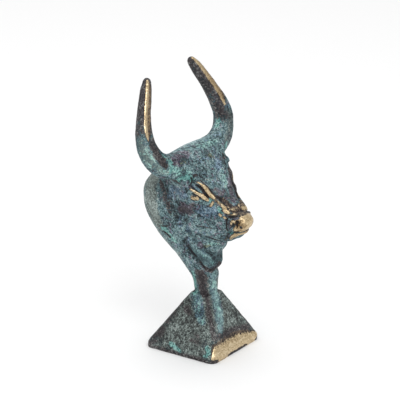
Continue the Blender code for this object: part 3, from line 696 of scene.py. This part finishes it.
class Recipe:
    """A material in the making."""

    def __init__(self, name):
        self.material = bpy.data.materials.new(name)
        self.material.use_nodes = True
        self.tree = self.material.node_tree
        self.shader = self.tree.nodes["Principled BSDF"]

    def add(self, kind, settings=None, values=None, output=0):
        """A node of a kind, with its settings, stops and sockets, as a signal."""
        node = self.tree.nodes.new(kind)
        for name, value in (settings or {}).items():
            if name == "stops":
                self.set_stops(node.color_ramp, value)
            else:
                setattr(node, name, value)
        for name, value in (values or {}).items():
            self.feed(node.inputs[name], value)
        return Signal(self, node.outputs[output])

    def set_stops(self, ramp, stops):
        while len(ramp.elements) < len(stops):
            ramp.elements.new(1.0)
        for element, (position, colour) in zip(ramp.elements, stops):
            element.position = position
            element.color = (*colour, 1.0)

    def feed(self, socket, value):
        """Links a signal to a socket, or sets the socket to a number or colour."""
        if isinstance(value, Signal):
            self.tree.links.new(value.socket, socket)
        elif isinstance(value, tuple) and socket.type == "RGBA":
            socket.default_value = (*value, 1.0)
        else:
            socket.default_value = value

    def maths(self, operation, *values):
        """A Math node on signals and numbers."""
        return self.add("ShaderNodeMath", {"operation": operation}, dict(enumerate(values)))

    def mask(self, name):
        """What was noted on the mesh under a name."""
        return self.add("ShaderNodeAttribute", {"attribute_name": name}, output="Fac")

    def spread(self, size, detail=3.0, roughness=0.55, shift=0.0, stretch=None, swirl=0.0):
        """Random values with lumps of a size in units, drawn out along a direction or swirled."""
        turn, scale = stretch or ((0.0, 0.0, 0.0), (1.0, 1.0, 1.0))
        values = {
            "Vector": self.add("ShaderNodeTexCoord", output="Object"),
            "Location": (shift, shift, shift),
            "Rotation": turn,
            "Scale": scale,
        }
        where = self.add("ShaderNodeMapping", values=values)
        values = {
            "Vector": where,
            "Scale": 1 / (size * UNIT),
            "Detail": detail,
            "Roughness": roughness,
            "Distortion": swirl,
        }
        return self.add("ShaderNodeTexNoise", values=values)

    def tones(self, tone, *colours):
        """Colours from dark to light, spread evenly over a tone from nothing to one."""
        last = len(colours) - 1
        stops = [(index / last, colour) for index, colour in enumerate(colours)]
        return self.add("ShaderNodeValToRGB", {"stops": stops}, {"Fac": tone})

    def blend(self, share, below, above):
        """One colour over another by a share."""
        values = {MIX_FACTOR: share, MIX_BELOW: below, MIX_ABOVE: above}
        return self.add("ShaderNodeMix", {"data_type": "RGBA"}, values, MIX_RESULT)

    def set(self, **values):
        """Feeds the shader's sockets, named with _ for each space."""
        for name, value in values.items():
            self.feed(self.shader.inputs[name.replace("_", " ")], value)


def palette(*shades):
    """Shades from dark to light, given as a screen shows them."""
    return tuple(srgb(*shade) for shade in shades)


TEALS = palette((30, 38, 42), (58, 76, 80), (86, 112, 116), (116, 144, 147), (160, 184, 184))
BLUES = palette((30, 40, 52), (56, 78, 92), (88, 112, 132), (120, 142, 162), (160, 180, 194))
MAUVES = palette((36, 30, 38), (66, 54, 66), (98, 84, 100), (124, 118, 130), (158, 156, 166))
OLIVES = palette((38, 42, 34), (72, 78, 62), (104, 110, 88), (132, 138, 114), (164, 168, 146))
GREYS = palette((32, 32, 32), (62, 66, 64), (90, 98, 95), (120, 132, 128), (166, 178, 174))
GREENS = palette((32, 68, 66), (64, 112, 110), (96, 146, 142), (128, 172, 166), (166, 200, 192))
OXIDES_AND_SHADES = palette((26, 23, 25), (44, 40, 43), (62, 57, 58), (90, 88, 88), (130, 132, 130))
BROWNS = palette((28, 22, 20), (54, 43, 38), (80, 66, 56), (106, 90, 74), (134, 116, 94))
BRASSES = palette((84, 64, 44), (158, 136, 104), (200, 180, 144), (230, 214, 182))

# The patina's random patterns, with the size of their lumps in units
BROAD = dict(size=8.0, detail=2.0)
PATCHES = dict(size=2.2, detail=3.0, roughness=0.6, shift=0.31, swirl=1.2)
SPECKS = dict(size=0.8, detail=2.0, roughness=0.7, shift=0.73, swirl=0.6)
GRAIN = dict(size=0.35, detail=1.0, roughness=0.5, shift=1.13)
PITS = dict(size=0.6, detail=2.0, roughness=0.6, shift=2.3)
# Scratches are drawn out along one direction: a turn, and then a scale along each axis
SLANT = ((0.6, 0.5, 0.9), (1.0, 0.16, 1.0))
SCRATCHES = dict(size=0.5, detail=1.0, roughness=0.5, shift=0.17, stretch=SLANT)

# Drifts of other colours over the teal: the mask that brings more of each, its colours,
# the size of its lumps, where its pattern starts, and how rare it is
Drift = namedtuple("Drift", "mask colours size shift rarity")
DRIFTS = (
    Drift("blue", BLUES, 3.6, 2.1, 0.1),
    Drift("mauve", MAUVES, 2.6, 3.3, 0.095),
    Drift("olive", OLIVES, 2.0, 4.7, 0.17),
)

# How deep the speckled surface looks, in units, and how strongly
BUMP_DEPTH = 0.16
BUMP_STRENGTH = 0.6

Mottle = namedtuple("Mottle", "patches specks grain ragged pits plain hollow grey")


def mottle_of(recipe):
    """The patterns and masks that several of the bronze's layers share."""
    patches = recipe.spread(**PATCHES) - 0.5
    specks = recipe.spread(**SPECKS) - 0.5
    grain = recipe.spread(**GRAIN) - 0.5
    ragged = specks * 1.4 + patches * 2.6
    pits = (recipe.spread(**PITS) + patches * 0.35).ramp(0.6, 0.66)
    plain = 1 - recipe.mask("even") * 0.65
    grey = recipe.mask("grey") * (1 - recipe.mask("teal"))
    return Mottle(patches, specks, grain, ragged, pits, plain, recipe.mask("hollow"), grey)


def tone_of(recipe, mottle):
    """How light a place is within its own colour, from nothing to one."""
    broad = recipe.spread(**BROAD) - 0.5
    scratches = recipe.spread(**SCRATCHES) - 0.5
    speckled = (mottle.patches * 2.0 + mottle.specks * 2.2) * mottle.plain
    # Hollows are darkened here as painted shade; pale and deep are in places a painted highlight
    # and painted shade
    shades = recipe.mask("pale") * 0.32 - recipe.mask("deep") * 0.2 - mottle.hollow * 0.5
    tone = 0.5 + broad * 0.9 + speckled + mottle.grain
    return tone + shades + scratches * recipe.mask("hatch") * 0.9


def drifted(recipe, mottle, tone):
    """Teal, with soft drifts of the other colours over it."""
    colour = recipe.tones(tone, *TEALS)
    for drift in DRIFTS:
        lumps = recipe.spread(drift.size, 3.0, 0.6, drift.shift, swirl=1.0) - 0.5
        lumps = lumps + recipe.mask(drift.mask) * 0.25
        share = (lumps + mottle.specks * 0.3).ramp(drift.rarity - 0.03, drift.rarity + 0.06)
        above = recipe.tones(tone, *drift.colours)
        colour = recipe.blend(share * mottle.plain * 0.8, colour, above)
    return colour


def weathered(recipe, mottle, tone, oxide_and_shade, colour):
    """The colour greyed, with verdigris, oxide and painted shade, and dark pits over it."""
    greyed = (mottle.grey + mottle.ragged * 0.5).ramp(0.3, 0.7)
    colour = recipe.blend(greyed, colour, recipe.tones(tone, *GREYS))
    verdigris = (recipe.mask("green") + mottle.ragged).ramp(0.4, 0.7)
    colour = recipe.blend(verdigris, colour, recipe.tones(tone + 0.06, *GREENS))
    colour = recipe.blend(oxide_and_shade, colour, recipe.tones(tone - 0.04, *OXIDES_AND_SHADES))
    return recipe.blend(mottle.pits * mottle.plain * 0.8, colour, OXIDES_AND_SHADES[0])


def brass_of(recipe, mottle, worn):
    """The colour of the bare brass: brighter where it is rubbed most, a painted highlight line
    along the rubbed stripes, and browner where it has browned again, partly by tarnishing and
    partly as a painted darker reflection.
    """
    flecks = (mottle.specks * 1.4 + mottle.patches * 1.2) * mottle.plain
    gleam = 0.4 + worn * 0.26 + mottle.grain * 1.2 + flecks
    gleam = gleam - recipe.mask("tarnish") * (0.42 + mottle.specks * 1.4)
    return recipe.tones(gleam, *BRASSES)


def patinated_bronze():
    """Mottled patina, rubbed brown and then through to bare brass on the high places."""
    recipe = Recipe("patinated_bronze")
    mottle = mottle_of(recipe)
    tone = tone_of(recipe, mottle)
    # Oxide, more of it in the hollows; where strokes lay dark in shade, it is painted shade and
    # shadow
    dark = recipe.mask("dark") + mottle.ragged * mottle.plain
    oxide_and_shade = (dark + mottle.hollow * 0.35).ramp(0.42, 0.6)
    colour = weathered(recipe, mottle, tone, oxide_and_shade, drifted(recipe, mottle, tone))
    worn = recipe.mask("worn")
    unevenly = (mottle.specks * 1.6 + mottle.patches * 0.8) * mottle.plain
    rubbed = worn * (1 + unevenly - mottle.hollow * 0.6) - recipe.mask("soil")
    browned = rubbed.ramp(0.12, 0.36) * 0.9
    colour = recipe.blend(browned, colour, recipe.tones(tone - 0.05, *BROWNS))
    bare = rubbed.ramp(0.46, 0.6)
    colour = recipe.blend(bare, colour, brass_of(recipe, mottle, worn))
    edge = (1 - worn).ramp(0.18, 0.5)
    colour = recipe.blend(mottle.pits * bare * mottle.grey * edge, colour, BROWNS[0])
    height = mottle.specks * 0.7 + mottle.grain * 0.3
    bump = recipe.add(
        "ShaderNodeBump",
        values={"Height": height, "Strength": BUMP_STRENGTH, "Distance": BUMP_DEPTH * UNIT},
    )
    recipe.set(
        Base_Color=colour,
        Metallic=bare * 0.95,
        Roughness=0.7 - bare * 0.36 - oxide_and_shade * 0.14,
        Specular_IOR_Level=0.25,
        Normal=bump,
    )
    return recipe.material


def pale_floor():
    recipe = Recipe("pale_floor")
    mottle = recipe.add("ShaderNodeTexNoise", values={"Scale": 3.0})
    recipe.set(Base_Color=recipe.blend(mottle, *FLOOR_WHITES), Roughness=0.8)
    return recipe.material


def bust_piece():
    """The one casting, over the CAD node whose form it keeps."""
    bust = even_skin("minotaur_bust")
    bpy.context.view_layer.update()
    marks = [settled(mark, bust) for group in GROUPS for mark in group.values()]
    modelled(bust, marks)
    cast_surface(bust)
    with_fewer_faces(bust, MOST_TRIANGLES)
    painted(bust, marks)
    bust.data.shade_smooth()
    bust.data.materials.clear()
    bust.data.materials.append(patinated_bronze())
    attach(bust, "root")
    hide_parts("minotaur_bust")
    return bust


def floor_piece():
    mesh = bmesh.new()
    bmesh.ops.create_grid(mesh, x_segments=1, y_segments=1, size=FLOOR_HALF_SIDE)
    data = bpy.data.meshes.new("floor")
    mesh.to_mesh(data)
    mesh.free()
    floor = bpy.data.objects.new("floor", data)
    bpy.context.scene.collection.objects.link(floor)
    floor.data.materials.append(pale_floor())
    return floor


def soft_light(name, spot, size, power):
    """A square light that looks at the bust's middle."""
    data = bpy.data.lights.new(name, "AREA")
    data.energy = power
    data.size = size
    light = bpy.data.objects.new(name, data)
    bpy.context.scene.collection.objects.link(light)
    light.location = spot
    middle = Vector((0.0, 0.0, (LOW[2] + HIGH[2]) / 2))
    light.rotation_euler = (middle - Vector(spot)).to_track_quat("-Z", "Y").to_euler()


def studio():
    world = bpy.data.worlds.new("studio")
    world.use_nodes = True
    background = world.node_tree.nodes["Background"]
    background.inputs["Color"].default_value = (1.0, 1.0, 1.0, 1.0)
    background.inputs["Strength"].default_value = WORLD_STRENGTH
    bpy.context.scene.world = world
    soft_light("key", *KEY_LIGHT)
    soft_light("top", *TOP_LIGHT)
    bpy.context.scene.view_settings.view_transform = "Standard"


def camera():
    """The photograph's view, without depth of field."""
    azimuth, elevation = math.radians(VIEW_AZIMUTH), math.radians(VIEW_ELEVATION)
    level = math.cos(elevation)
    back = (math.sin(azimuth) * level, -math.cos(azimuth) * level, math.sin(elevation))
    data = bpy.data.cameras.new("camera")
    data.sensor_width = SENSOR
    data.lens = VIEW_FOCUS * SENSOR / PICTURE
    view = bpy.data.objects.new("camera", data)
    bpy.context.scene.collection.objects.link(view)
    view.location = (Vector(VIEW_TARGET) + Vector(back) * VIEW_DISTANCE) * UNIT
    view.rotation_euler = Vector(back).to_track_quat("Z", "Y").to_euler()
    bpy.context.scene.camera = view


bust_piece()
floor_piece()
studio()
camera()
